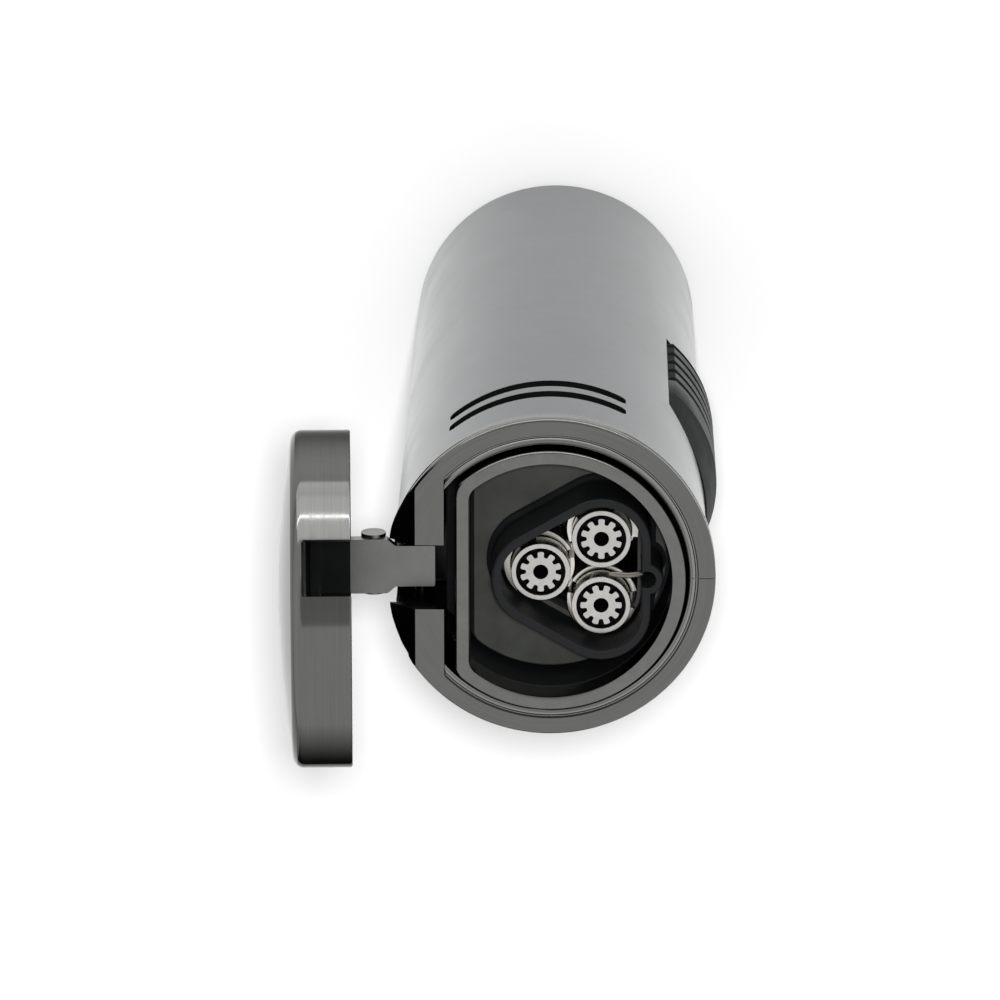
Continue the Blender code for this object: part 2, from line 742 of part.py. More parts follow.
def make_base():
    top = 2.2
    base = gunmetal(cylinder("base_plate", 11.0, 0.0, top, steps=48))
    for x in (7.5, -7.5):
        cut(base, cylinder("screw_hole_cutter", 1.1, -1.0, 3.0, (x, 0.0), steps=16))
        cut(base, cylinder("screw_head_cutter", 1.9, -1.0, 1.6, (x, 0.0)))
    for y in (5.5, -5.5):
        cut(base, cylinder("valve_hole_cutter", 2.9, -1.0, 3.0, (0.0, y)))
    for number, x in enumerate((7.5, -7.5), start=1):
        make_base_screw(number, x)


def make_base_screw(number, x):
    profile = [(0.0, 3.9), (0.8, 3.9), (0.8, 1.3), (1.6, 1.3), (1.6, 0.3), (0.0, 0.3)]
    screw = turned(f"base_screw_{number}", profile, closed=False, xy=(x, 0.0), steps=16)
    cut(screw, box("screw_slot_cutter", (x - 2.0, -0.25, 0.0), (x + 2.0, 0.25, 0.8)))
    return bright_steel(screw)


def make_flame_adjuster():
    profile = [(0.0, 5.6), (1.2, 5.6), (1.2, 2.0), (2.6, 2.0), (2.6, 0.3), (0.0, 0.3)]
    adjuster = turned("flame_adjuster", profile, closed=False, xy=(0.0, -5.5), steps=24)
    cut(adjuster, box("adjuster_slot_cutter", (-3.0, -5.9, 0.0), (3.0, -5.1, 1.1)))
    brass(adjuster)
    pivot("flame_adjuster_axis", 0.0, -5.5, 0.3, [adjuster])


def make_refill_valve():
    profile = [(2.6, 6.0), (2.6, 0.3), (1.2, 0.3), (1.2, 6.0)]
    brass(turned("refill_bushing", profile, closed=True, xy=(0.0, 5.5), steps=24))
    stem = bright_steel(cylinder("refill_valve", 0.85, 0.6, 7.4, (0.0, 5.5), steps=16))
    pivot("refill_valve_axis", 0.0, 5.5, 0.6, [stem])


def main():
    global parts, cutters
    clear_scene()
    parts = new_collection("torch_lighter")
    cutters = new_collection("cutters")
    make_body_tube()
    make_top_collar()
    make_chamber()
    make_burner()
    make_chassis()
    make_tank()
    make_outlet_valve()
    make_valve_lever()
    make_trigger()
    make_igniter()
    make_lid()
    make_base()
    make_flame_adjuster()
    make_refill_valve()


main()
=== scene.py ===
"""Looks of the torch lighter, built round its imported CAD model.

Outlines are in millimetres in the row frame, and MM turns them into metres. The lid's pieces
are drawn closed and are then turned open about the hinge.
"""

import json
import math

import bmesh
import bpy
from mathutils import Matrix, Vector


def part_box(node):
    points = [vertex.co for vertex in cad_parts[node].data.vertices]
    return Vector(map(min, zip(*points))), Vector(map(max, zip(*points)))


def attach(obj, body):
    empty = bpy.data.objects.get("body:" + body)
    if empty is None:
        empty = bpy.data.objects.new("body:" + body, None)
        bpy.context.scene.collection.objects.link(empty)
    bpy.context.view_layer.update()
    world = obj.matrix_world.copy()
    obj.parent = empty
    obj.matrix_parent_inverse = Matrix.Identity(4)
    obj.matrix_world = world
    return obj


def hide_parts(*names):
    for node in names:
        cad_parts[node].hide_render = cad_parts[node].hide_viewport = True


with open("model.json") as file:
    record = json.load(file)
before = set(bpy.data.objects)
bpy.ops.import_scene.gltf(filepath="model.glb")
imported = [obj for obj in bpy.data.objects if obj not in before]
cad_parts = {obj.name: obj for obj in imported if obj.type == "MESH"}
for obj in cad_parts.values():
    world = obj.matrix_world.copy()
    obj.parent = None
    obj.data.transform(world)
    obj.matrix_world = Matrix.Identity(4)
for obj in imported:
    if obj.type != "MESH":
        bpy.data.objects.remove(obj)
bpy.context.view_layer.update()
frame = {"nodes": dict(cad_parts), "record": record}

MM = 0.001

# A piece has three material slots: its faces in slot 0, its rounded edges, mostly in a lighter copy of the
# face colour as a painted highlight, and its blackened parts, mostly painted shade.
SLOTS = 3
EDGE, DARK = 1, 2

# --- sizes taken from the CAD model, in millimetres ------------------------------------


def reach(node):
    low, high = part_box(node)
    return low / MM, high / MM


def joint(name):
    return next(j for j in frame["record"]["behaviour"]["joints"] if j["name"] == name)


FACE = reach("top_collar")[1].z
COLLAR_RADIUS = reach("top_collar")[1].y
TUBE_RADIUS = reach("body_tube")[1].y
TUBE_TOP = reach("body_tube")[1].z
RIM_RADIUS = reach("burner_rim")[1].x
RIM_TOP = reach("burner_rim")[1].z
RIM_BOTTOM = reach("burner_rim")[0].z
RIM_FLAT = -reach("burner_rim")[0].x
FLOOR_TOP = reach("chamber_floor")[1].z
FLOOR_BOTTOM = reach("chamber_floor")[0].z
SHROUD_TOP = reach("jet_shroud")[1].z
SHROUD_BOTTOM = reach("jet_shroud")[0].z
NOZZLE_TOP = reach("jet_nozzle_1")[1].z
NOZZLE_RADIUS = (reach("jet_nozzle_1")[1].y - reach("jet_nozzle_1")[0].y) / 2
SLEEVE_TOP = reach("jet_sleeve_1")[1].z
SLEEVE_RADIUS = (reach("jet_sleeve_1")[1].y - reach("jet_sleeve_1")[0].y) / 2
TRIGGER_LOW, TRIGGER_HIGH = reach("trigger")
HINGE = Vector(joint("lid_hinge")["pos_m"]) / MM
OPEN_ANGLE = joint("lid_hinge")["range_deg"][1]
JETS = []
for jet_name in ("jet_nozzle_1", "jet_nozzle_2", "jet_nozzle_3"):
    jet_low, jet_high = reach(jet_name)
    JETS.append(((jet_low.x + jet_high.x) / 2, (jet_low.y + jet_high.y) / 2))
LOBE = (8.2, 0.0)

# --- other sizes, in millimetres -----------------------------------------------------------

SPIGOT_BOTTOM = 75.8
CHAMBER_BOTTOM = 76.2
SLEEVE_BOTTOM = 73.5
NOZZLE_BOTTOM = 76.0
ORIFICE_RADIUS = 0.72
LID_LOW = FACE + 0.4
RIVET_X = HINGE.x + 3.0
RIVET_Y = 4.3
RIVET_HOLE_RADIUS = 0.85
TRIGGER_PIN = (9.4, 62.6)
ABOVE_ALL = 90.0

# --- outlines ----------------------------------------------------------------------------


def arc(centre, radius, start, end, steps):
    points = []
    for index in range(steps + 1):
        angle = math.radians(start + (end - start) * index / steps)
        points.append((centre[0] + radius * math.cos(angle), centre[1] + radius * math.sin(angle)))
    return points


def circle(centre, radius, steps):
    return arc(centre, radius, 0.0, 360.0 - 360.0 / steps, steps - 1)


def flat_sided(radius, flat, corner):
    """A circle with its -X side cut off at x = -flat and the two corners rounded."""
    centre_x = corner - flat
    centre_y = math.sqrt((radius - corner) ** 2 - centre_x**2)
    turn = math.degrees(math.atan2(centre_y, centre_x))
    outline = arc((0.0, 0.0), radius, -turn, turn, 120)
    outline += arc((centre_x, centre_y), corner, turn, 180.0, 12)[1:]
    outline += arc((centre_x, -centre_y), corner, 180.0, 360.0 - turn, 12)[:-1]
    return outline


def jet_slope():
    left, upper = JETS[0], JETS[1]
    return math.degrees(math.atan2(upper[0] - left[0], -(upper[1] - left[1])))


def around_jets(offset):
    """The triangle of the three jets, grown outward by offset with round corners."""
    left, upper, lower = JETS
    slope = jet_slope()
    outline = arc(lower, offset, -slope, 0.0, 24)
    outline += arc(upper, offset, 0.0, slope, 24)
    outline += arc(left, offset, slope, 360.0 - slope, 24)
    return outline


def around_jets_with_lobe(offset, lobe_radius):
    left, upper, lower = JETS
    slope = jet_slope()
    side_x = upper[0] + offset
    half_turn = math.degrees(math.acos((side_x - LOBE[0]) / lobe_radius))
    outline = arc(lower, offset, -slope, 0.0, 24)
    outline += arc(LOBE, lobe_radius, -half_turn, half_turn, 24)
    outline += arc(upper, offset, 0.0, slope, 24)
    outline += arc(left, offset, slope, 360.0 - slope, 24)
    return outline


def arched(half_width, bottom, top, crown_radius):
    """Straight sides with a shallow arc across the top."""
    crown_centre = top - crown_radius
    lean = math.degrees(math.acos(half_width / crown_radius))
    outline = [(-half_width, bottom), (half_width, bottom)]
    outline += arc((0.0, crown_centre), crown_radius, lean, 180.0 - lean, 40)
    return outline


def rounded_box(low_a, low_b, high_a, high_b, corner, steps=6):
    outline = arc((high_a - corner, low_b + corner), corner, -90.0, 0.0, steps)
    outline += arc((high_a - corner, high_b - corner), corner, 0.0, 90.0, steps)
    outline += arc((low_a + corner, high_b - corner), corner, 90.0, 180.0, steps)
    outline += arc((low_a + corner, low_b + corner), corner, 180.0, 270.0, steps)
    return outline


# --- solids ------------------------------------------------------------------------------


def skin(name, rings, closed=False):
    """A solid through rings of points. The first and last are capped, or joined if closed."""
    count = len(rings[0])
    points = [Vector(point) * MM for ring in rings for point in ring]
    faces = []
    rows = len(rings) if closed else len(rings) - 1
    for row in range(rows):
        here = row * count
        there = (row + 1) % len(rings) * count
        for index in range(count):
            after = (index + 1) % count
            faces.append((here + index, here + after, there + after, there + index))
    if not closed:
        faces.append(tuple(range(count)))
        faces.append(tuple(range(len(points) - count, len(points))))
    mesh = bpy.data.meshes.new(name)
    mesh.from_pydata(points, [], faces)
    work = bmesh.new()
    work.from_mesh(mesh)
    bmesh.ops.recalc_face_normals(work, faces=work.faces)
    work.to_mesh(mesh)
    work.free()
    for _ in range(SLOTS):
        mesh.materials.append(None)
    obj = bpy.data.objects.new(name, mesh)
    bpy.context.scene.collection.objects.link(obj)
    return obj


def level(outline, z):
    return [(x, y, z) for x, y in outline]


def turned(name, profile, centre=(0.0, 0.0), steps=192, closed=False):
    """A profile of (radius, z) points turned about an upright axis."""
    rings = [level(circle(centre, max(radius, 0.01), steps), z) for radius, z in profile]
    return skin(name, rings, closed)


def upright(name, outline, bottom, top):
    return skin(name, [level(outline, bottom), level(outline, top)])


def along_x(name, outline, near, far):
    """An outline of (y, z) points made solid from x = near to x = far."""
    return skin(name, [[(x, y, z) for y, z in outline] for x in (near, far)])


def along_y(name, outline, near, far):
    """An outline of (x, z) points made solid from y = near to y = far."""
    return skin(name, [[(x, y, z) for x, z in outline] for y in (near, far)])


def use(obj, tool, operation):
    modifier = obj.modifiers.new(operation.lower(), "BOOLEAN")
    modifier.operation = operation
    modifier.solver = "EXACT"
    modifier.object = tool
    settle(obj)
    bpy.data.objects.remove(tool, do_unlink=True)


def cut(obj, *tools):
    for tool in tools:
        use(obj, tool, "DIFFERENCE")


def fuse(obj, *tools):
    for tool in tools:
        use(obj, tool, "UNION")


def settle(obj):
    """Applies the modifiers of an object."""
    bpy.context.view_layer.update()
    evaluated = obj.evaluated_get(bpy.context.evaluated_depsgraph_get())
    mesh = bpy.data.meshes.new_from_object(evaluated)
    obj.modifiers.clear()
    obj.data = mesh


def soften(obj, width, segments=2, angle=32.0):
    """Rounds the edges that turn by more than an angle."""
    bevel = obj.modifiers.new("edges", "BEVEL")
    bevel.width = width * MM
    bevel.segments = segments
    bevel.limit_method = "ANGLE"
    bevel.angle_limit = math.radians(angle)
    bevel.use_clamp_overlap = True
    bevel.material = EDGE
    settle(obj)


def smooth(obj, angle=32.0):
    """Smooth shading between sharp edges. Large flat faces stay flat."""
    obj.data.shade_smooth()
    obj.data.set_sharp_from_angle(angle=math.radians(angle))
    weighted = obj.modifiers.new("flat_faces", "WEIGHTED_NORMAL")
    weighted.keep_sharp = True
    weighted.weight = 80
    settle(obj)


def round_normals(obj, centre=(0.0, 0.0), slack=5.0):
    """Gives the walls of a turned piece the exact normals of their cylinder."""
    mesh = obj.data
    limit = math.cos(math.radians(slack))
    normals = [corner.vector.copy() for corner in mesh.corner_normals]
    for face in mesh.polygons:
        if abs(face.normal.z) > limit:
            for corner in face.loop_indices:
                normals[corner] = Vector((0.0, 0.0, math.copysign(1.0, face.normal.z)))
            continue
        if abs(face.normal.z) > 0.05:
            continue
        for corner in face.loop_indices:
            at = mesh.vertices[mesh.loops[corner].vertex_index].co
            out = Vector((at.x - centre[0] * MM, at.y - centre[1] * MM, 0.0)).normalized()
            turn = out.dot(face.normal)
            if abs(turn) > limit:
                normals[corner] = out if turn > 0 else -out
    mesh.normals_split_custom_set(normals)


def show(obj, body, slot, materials, *nodes):
    """Puts a finished piece on its body in place of the CAD nodes it stands for."""
    used = {face.material_index for face in obj.data.polygons}
    for index, material in enumerate(materials):
        obj.data.materials[index] = material
    for index in reversed(range(SLOTS)):
        if index not in used and index > max(used):
            obj.data.materials.pop(index=index)
    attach(obj, body)
    if nodes:
        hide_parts(*nodes)


def opened(obj):
    """Turns a piece of the closed lid to its open place at rest."""
    turn = Matrix.Translation(HINGE * MM) @ Matrix.Rotation(math.radians(-OPEN_ANGLE), 4, "Y")
    obj.matrix_world = turn @ Matrix.Translation(-HINGE * MM)


# --- materials ---------------------------------------------------------------------------


class Nodes:
    """Small helper to wire up one procedural material."""

    def __init__(self, name):
        self.material = bpy.data.materials.new(name)
        self.material.use_nodes = True
        self.tree = self.material.node_tree
        self.shader = self.tree.nodes["Principled BSDF"]
        self.place = self.add("ShaderNodeTexCoord").outputs["Object"]

    def add(self, kind, **settings):
        node = self.tree.nodes.new(kind)
        for name, value in settings.items():
            setattr(node, name, value)
        return node

    def link(self, source, target):
        self.tree.links.new(source, target)

    def maths(self, operation, *inputs):
        node = self.add("ShaderNodeMath", operation=operation)
        for socket, value in zip(node.inputs, inputs):
            if isinstance(value, (int, float)):
                socket.default_value = value
            else:
                self.link(value, socket)
        return node.outputs[0]

    def noise(self, where, scale, detail=4.0, roughness=0.6):
        node = self.add("ShaderNodeTexNoise")
        node.inputs["Scale"].default_value = scale
        node.inputs["Detail"].default_value = detail
        node.inputs["Roughness"].default_value = roughness
        self.link(where, node.inputs["Vector"])
        return node.outputs["Fac"]

    def stretched(self, scales):
        node = self.add("ShaderNodeMapping")
        node.inputs["Scale"].default_value = scales
        self.link(self.place, node.inputs["Vector"])
        return node.outputs["Vector"]

    def turned_grain(self, round_scale, along_scale, centre=(0.0, 0.0)):
        """Coordinates that run round the Z axis, so that noise in them is lathe brushing."""
        parts = self.add("ShaderNodeSeparateXYZ")
        self.link(self.place, parts.inputs[0])
        x = self.maths("SUBTRACT", parts.outputs["X"], centre[0] * MM)
        y = self.maths("SUBTRACT", parts.outputs["Y"], centre[1] * MM)
        angle = self.maths("ARCTAN2", y, x)
        squares = self.maths("ADD", self.maths("MULTIPLY", x, x), self.maths("MULTIPLY", y, y))
        radius = self.maths("SQRT", squares)
        joined = self.add("ShaderNodeCombineXYZ")
        self.link(self.maths("MULTIPLY", self.maths("SINE", angle), round_scale), joined.inputs[0])
        self.link(self.maths("MULTIPLY", self.maths("COSINE", angle), round_scale), joined.inputs[1])
        across = self.maths("ADD", radius, parts.outputs["Z"])
        self.link(self.maths("MULTIPLY", across, along_scale), joined.inputs[2])
        return joined.outputs[0]

    def spread(self, value, low, high, from_low=0.3, from_high=0.7):
        node = self.add("ShaderNodeMapRange")
        node.inputs["From Min"].default_value = from_low
        node.inputs["From Max"].default_value = from_high
        node.inputs["To Min"].default_value = low
        node.inputs["To Max"].default_value = high
        self.link(value, node.inputs["Value"])
        return node.outputs[0]

    def blend(self, factor, first, second):
        node = self.add("ShaderNodeMix", data_type="RGBA")
        self.link(factor, node.inputs["Factor"])
        for socket, value in ((node.inputs[6], first), (node.inputs[7], second)):
            if isinstance(value, tuple):
                socket.default_value = (*value, 1.0)
            else:
                self.link(value, socket)
        return node.outputs[2]

    def bump(self, height, distance, strength=1.0):
        node = self.add("ShaderNodeBump")
        node.inputs["Distance"].default_value = distance
        node.inputs["Strength"].default_value = strength
        self.link(height, node.inputs["Height"])
        self.link(node.outputs["Normal"], self.shader.inputs["Normal"])

    def set(self, **values):
        for name, value in values.items():
            self.shader.inputs[name.replace("_", " ")].default_value = value


def shade(colour, factor):
    return tuple(channel * factor for channel in colour)


def metal(name, colour, roughness, grain, depth=0.000004, spread=0.05, centre=(0.0, 0.0), limb=1.0):
    """Brushed metal. grain is "round" for lathe brushing, or stretch factors along x, y and z.

    A limb below 1 darkens the coating where it is seen at a shallow angle.
    """
    n = Nodes(name)
    n.set(Metallic=1.0, Specular_Tint=(limb, limb, limb, 1.0))
    if grain == "round":
        fine = n.noise(n.turned_grain(0.9, 9000.0, centre), 1.0, 3.0, 0.7)
        broad = n.noise(n.turned_grain(1.6, 1400.0, centre), 1.0, 2.0)
    else:
        fine = n.noise(n.stretched(grain), 1.0, 4.0, 0.7)
        broad = n.noise(n.stretched(shade(grain, 0.16)), 1.0, 2.0)
    cloud = n.noise(n.place, 160.0, 3.0)
    tone = n.blend(n.spread(fine, 0.0, 1.0), shade(colour, 0.9), shade(colour, 1.1))
    tone = n.blend(n.spread(cloud, 0.0, 0.35), tone, shade(colour, 0.88))
    n.link(tone, n.shader.inputs["Base Color"])
    streaks = n.spread(broad, roughness - spread, roughness + spread)
    n.link(n.maths("ADD", streaks, n.spread(cloud, -0.02, 0.02)), n.shader.inputs["Roughness"])
    n.bump(fine, depth)
    return n.material


def plastic(name, colour, roughness, grain=2600.0, depth=0.00001, specular=0.5):
    """Moulded plastic with a fine spark-eroded grain."""
    n = Nodes(name)
    n.set(Specular_IOR_Level=specular)
    fine = n.noise(n.place, grain, 3.0, 0.7)
    cloud = n.noise(n.place, 240.0, 3.0)
    tone = n.blend(n.spread(cloud, 0.0, 1.0), shade(colour, 0.8), shade(colour, 1.2))
    n.link(tone, n.shader.inputs["Base Color"])
    n.link(n.spread(cloud, roughness - 0.06, roughness + 0.06), n.shader.inputs["Roughness"])
    n.bump(fine, depth, 0.6)
    return n.material


def trigger_painted_sheen():
    """Black plastic whose ribbed lower part is coloured a lighter grey, a painted sheen."""
    n = Nodes("trigger_plastic")
    n.set(Specular_IOR_Level=0.06)
    parts = n.add("ShaderNodeSeparateXYZ")
    n.link(n.place, parts.inputs[0])
    aside = n.maths("ABSOLUTE", parts.outputs["Y"])
    limit = n.spread(aside, 0.058, 0.054, 0.0055, 0.0072)
    height = n.maths("SUBTRACT", parts.outputs["Z"], limit)
    smooth_part = n.spread(height, 0.0, 1.0, -0.001, 0.003)
    fine = n.noise(n.place, 3400.0, 3.0, 0.7)
    cloud = n.noise(n.place, 420.0, 3.0)
    # Painted sheen: the ribbed lower part is a lighter grey that stands for light on the ribs. Above it the
    # plastic is black.
    painted_sheen = n.blend(n.spread(cloud, 0.0, 1.0), (0.06, 0.062, 0.062), (0.1, 0.104, 0.104))
    black = n.blend(n.spread(cloud, 0.0, 1.0), (0.0035, 0.004, 0.0043), (0.005, 0.0056, 0.006))
    n.link(n.blend(smooth_part, painted_sheen, black), n.shader.inputs["Base Color"])
    n.link(n.spread(fine, 0.5, 0.65), n.shader.inputs["Roughness"])
    n.bump(fine, 0.00002, 0.5)
    return n.material


GUNMETAL = (0.145, 0.145, 0.14)
SATIN = (0.1, 0.107, 0.11)
STEEL = (0.53, 0.52, 0.495)

tube_metal = metal("tube_metal", SATIN, 0.17, (900.0, 900.0, 900.0), 0.0000005, 0.02)
# Painted highlight: a lighter copy of the tube's metal for its rounded edges.
tube_painted_highlight = metal("tube_painted_highlight", shade(SATIN, 2.0), 0.2, (900.0, 900.0, 900.0), 0.000001)
# Painted shade: a near-black for insides and recesses that lie in shade.
painted_shade_black = plastic("painted_shade_black", (0.003, 0.003, 0.003), 0.7, specular=0.05)
collar_metal = metal("collar_metal", GUNMETAL, 0.16, "round", 0.000001)
# Painted highlight: a lighter copy of the collar's metal for rounded edges and the bead.
collar_painted_highlight = metal("collar_painted_highlight", shade(GUNMETAL, 1.7), 0.18, "round", 0.000001)
rim_metal = metal("rim_metal", shade(GUNMETAL, 1.12), 0.18, (700.0, 700.0, 3000.0), 0.000001)
black_metal = metal("black_metal", (0.02, 0.021, 0.0205), 0.3, (800.0, 800.0, 800.0), 0.000002)
lid_metal = metal("lid_metal", GUNMETAL, 0.1, "round", 0.000001, 0.03, limb=0.35)
dome_metal = metal("dome_metal", GUNMETAL, 0.12, "round", 0.000001, 0.03, limb=0.75)
# Painted shade: near-black for the lid's inside, its rim's underside and the arm's root, which lie in shade.
lid_painted_shade = plastic("lid_painted_shade", (0.003, 0.0032, 0.0034), 0.5, specular=0.06)
arm_metal = metal("arm_metal", shade(GUNMETAL, 1.35), 0.3, (2600.0, 300.0, 300.0), 0.000002)
# Painted shade: a darker copy of the arm's metal for its rounded edges.
arm_painted_shade = metal("arm_painted_shade", shade(GUNMETAL, 0.5), 0.25, (2600.0, 300.0, 300.0), 0.000002)
steel = metal("bright_steel", STEEL, 0.26, (2000.0, 2000.0, 500.0), 0.000003)
# Painted highlight: a lighter copy of the steel for the rounded edges of nozzles and sleeves.
steel_painted_highlight = metal("steel_painted_highlight", shade(STEEL, 1.2), 0.2, (2000.0, 2000.0, 500.0), 0.000002)
nickel = metal("dull_nickel", (0.2, 0.19, 0.17), 0.3, (2000.0, 2000.0, 500.0), 0.000003)
sleeve_metal = metal("sleeve_metal", (0.8, 0.78, 0.72), 0.3, (2000.0, 2000.0, 500.0), 0.000003)
dark_pin = metal("dark_pin", (0.06, 0.06, 0.058), 0.3, (500.0, 3000.0, 500.0), 0.000002)
brass = metal("brass", (0.72, 0.53, 0.24), 0.28, (2000.0, 2000.0, 500.0), 0.000003)
black_plastic = plastic("black_plastic", (0.0065, 0.0068, 0.0074), 0.45, specular=0.16)
trigger_plastic = trigger_painted_sheen()
trigger_black = plastic("trigger_black", (0.006, 0.0066, 0.007), 0.5, specular=0.03)
ceramic = plastic("dark_ceramic", (0.036, 0.0375, 0.035), 0.8, 1800.0, 0.00003, specular=0.2)
smoke = plastic("smoke_plastic", (0.12, 0.12, 0.13), 0.25)
white = plastic("white_plastic", (0.7, 0.7, 0.66), 0.4)

# --- tube, collar and rim ----------------------------------------------------------------


def blacken(obj, wanted):
    """Blackens the faces that a test on their centre in millimetres and their normal picks."""
    for face in obj.data.polygons:
        if wanted(face.center / MM, face.normal):
            face.material_index = DARK


def body_tube():
    """The tube with its rolled foot, trigger window, arm slot and two pairs of vents."""
    fold = 2.4
    wall = 0.65
    lip = 11.3
    profile = [(TUBE_RADIUS - 0.12, TUBE_TOP), (TUBE_RADIUS, TUBE_TOP - 0.12)]
    profile += [(TUBE_RADIUS, 60.0), (TUBE_RADIUS, 38.0)]
    profile += arc((TUBE_RADIUS - fold, fold), fold, 0.0, -90.0, 16)
    profile += [(lip + 0.1, 0.0), (lip, 0.1), (lip, wall)]
    profile += arc((TUBE_RADIUS - fold, fold), fold - wall, -90.0, 0.0, 10)
    profile += [(TUBE_RADIUS - wall, TUBE_TOP)]
    tube = turned("tube_shell", profile, closed=True, steps=240)
    vent_half = 0.875
    half = min(TRIGGER_HIGH.y, 8.3) + 0.3
    window = arched(half, TRIGGER_LOW.z - 0.75, TRIGGER_HIGH.z + 0.3, 10.3)
    cut(tube, along_x("window", window, 5.0, 16.0))
    slot = rounded_box(-2.85, HINGE.z - 1.35, 2.85, ABOVE_ALL, 0.4)
    cut(tube, along_x("arm_slot", slot, -16.0, -9.0))
    for side in (1, -1):
        for drop in (9.6, 12.8):
            middle = FACE - drop
            vent = rounded_box(-8.7, middle - vent_half, 6.4, middle + vent_half, 0.5)
            near, far = sorted((side * 7.0, side * 16.0))
            cut(tube, along_y("vent", vent, near, far))
    soften(tube, 0.09, 2, 40.0)
    smooth(tube, 40.0)
    round_normals(tube)
    # Painted shade: the tube's inside is blackened.
    blacken(tube, lambda at, out: math.hypot(at.x, at.y) < TUBE_RADIUS - 0.3 and at.z > 2.5)
    show(tube, "housing", "satin_gunmetal", (tube_metal, tube_painted_highlight, painted_shade_black), "body_tube")


def top_collar():
    """The ring on the tube's end, open at the hinge, with a bead along its bore."""
    edge = 0.28
    bottom = FACE - 2.0
    spigot = TUBE_RADIUS - 0.9
    profile = [(8.0, FACE), (COLLAR_RADIUS - edge, FACE)]
    profile += arc((COLLAR_RADIUS - edge, FACE - edge), edge, 90.0, 0.0, 5)
    for radius, drop in ((0.0, 0.5), (0.22, 0.62), (0.22, 0.92), (0.0, 1.04)):
        profile.append((COLLAR_RADIUS - radius, FACE - drop))
    profile += arc((COLLAR_RADIUS - edge, bottom + edge), edge, 0.0, -90.0, 5)
    profile += [(spigot, bottom), (spigot, SPIGOT_BOTTOM), (8.0, SPIGOT_BOTTOM)]
    collar = turned("collar", profile, closed=True, steps=240)
    flat = 8.93
    steps = [(12.56, FACE + 1.0), (12.56, FACE), (12.5, FACE - 0.16), (12.44, FACE - 0.21)]
    steps += arc((12.0, FACE - 0.45), 0.45, 34.0, 115.0, 10)
    steps += [(11.8, FACE - 0.12), (11.78, 70.0)]
    bore = [level(flat_sided(radius, flat + (radius - 11.82) * 0.05, 0.6), z) for radius, z in steps]
    cut(collar, skin("collar_bore", bore))
    notch = rounded_box(-2.85, HINGE.z - 1.95, 2.85, ABOVE_ALL, 0.3)
    cut(collar, along_x("ear_notch", notch, -16.0, -8.0))
    slope = math.radians(-41.0)
    facet = along_x("facet", rounded_box(-12.5, 0.0, 12.5, 9.0, 0.2), -8.0, 0.0)
    facet_edge = Vector((-11.4, 0.0, FACE))
    facet.matrix_world = Matrix.Translation(facet_edge * MM) @ Matrix.Rotation(slope, 4, "Y")
    cut(collar, facet)
    seam = [(12.0, -0.03), (15.0, -0.03), (15.0, 0.03), (12.0, 0.03)]
    cut(collar, upright("seam", seam, FACE - 0.12, ABOVE_ALL))
    soften(collar, 0.05, 2, 40.0)
    smooth(collar, 30.0)
    round_normals(collar)

    # Painted shade and painted reflection: the facet, the ear notch's walls, the bore below the face, the
    # flat wall and the faces under the collar are blackened. The facet's black also stands for the dark lid
    # that it mirrors.
    def hinge_side(at, out):
        facet = out.x < -0.5 and out.z > 0.5 and at.x < -11.0
        notch = abs(out.y) > 0.9 and abs(at.y) < 2.95 and at.x < -8.0
        inside = math.hypot(at.x, at.y) < 11.85 and at.z < FACE - 0.35 and out.z < 0.5
        flat_wall = out.x > 0.9 and at.x < -8.5
        return facet or notch or inside or flat_wall or at.z < FACE - 2.1

    # Painted highlight: the bead takes the lighter edge colour, apart from its stretch along the flat side.
    for face in collar.data.polygons:
        away = math.hypot(face.center.x, face.center.y) / MM
        lowered = FACE - 0.3 < face.center.z / MM < FACE - 0.01
        if 11.8 < away < 12.42 and lowered and face.center.x > -8.9 * MM:
            face.material_index = EDGE
    blacken(collar, hinge_side)
    show(collar, "housing", "gunmetal", (collar_metal, collar_painted_highlight, black_metal), "top_collar")


def burner_rim():
    """The flat-sided rim, and the chamber wall that carries on below it, which is black as painted shade."""
    wall = 1.15

    def loop(inset, z):
        corner = max(1.9 - inset * 0.4, 1.2)
        return level(flat_sided(RIM_RADIUS + 0.1 - inset, RIM_FLAT - inset * 1.02, corner), z)

    rings = [
        loop(0.0, RIM_BOTTOM),
        loop(0.0, RIM_TOP - 0.2),
        loop(0.03, RIM_TOP - 0.09),
        loop(0.1, RIM_TOP - 0.02),
        loop(0.18, RIM_TOP),
        loop(wall - 0.12, RIM_TOP),
        loop(wall - 0.04, RIM_TOP - 0.03),
        loop(wall, RIM_TOP - 0.12),
        loop(wall, RIM_BOTTOM),
    ]
    rim = skin("burner_rim_trim", rings, closed=True)
    smooth(rim, 40.0)
    show(rim, "housing", "gunmetal", (rim_metal,), "burner_rim")
    wall_rings = [
        loop(0.0, CHAMBER_BOTTOM),
        loop(0.0, RIM_BOTTOM - 0.3),
        loop(wall - 0.1, RIM_BOTTOM - 0.3),
        loop(wall, RIM_BOTTOM - 0.4),
        loop(wall, CHAMBER_BOTTOM),
    ]
    # Painted shade: the chamber wall is black plastic to stand for the shade inside the chamber.
    liner = skin("chamber_wall_painted_shade", wall_rings, closed=True)
    smooth(liner, 40.0)
    show(liner, "housing", "dark_ceramic", (black_plastic,), "chamber_wall")


# --- burner ------------------------------------------------------------------------------


def chamber_floor():
    edge = flat_sided(RIM_RADIUS - 1.45, 6.6, 1.3)
    inner = flat_sided(RIM_RADIUS - 1.6, 6.5, 1.2)
    rings = [level(edge, FLOOR_BOTTOM), level(edge, FLOOR_TOP - 0.2), level(inner, FLOOR_TOP)]
    floor = skin("chamber_floor_plate", rings)
    cut(floor, upright("jet_opening", around_jets(3.1), 70.0, ABOVE_ALL))
    cut(floor, upright("wire_opening", circle(LOBE, 0.5, 24), 70.0, ABOVE_ALL))
    soften(floor, 0.06)
    smooth(floor)
    show(floor, "housing", "dark_ceramic", (ceramic, ceramic), "chamber_floor")


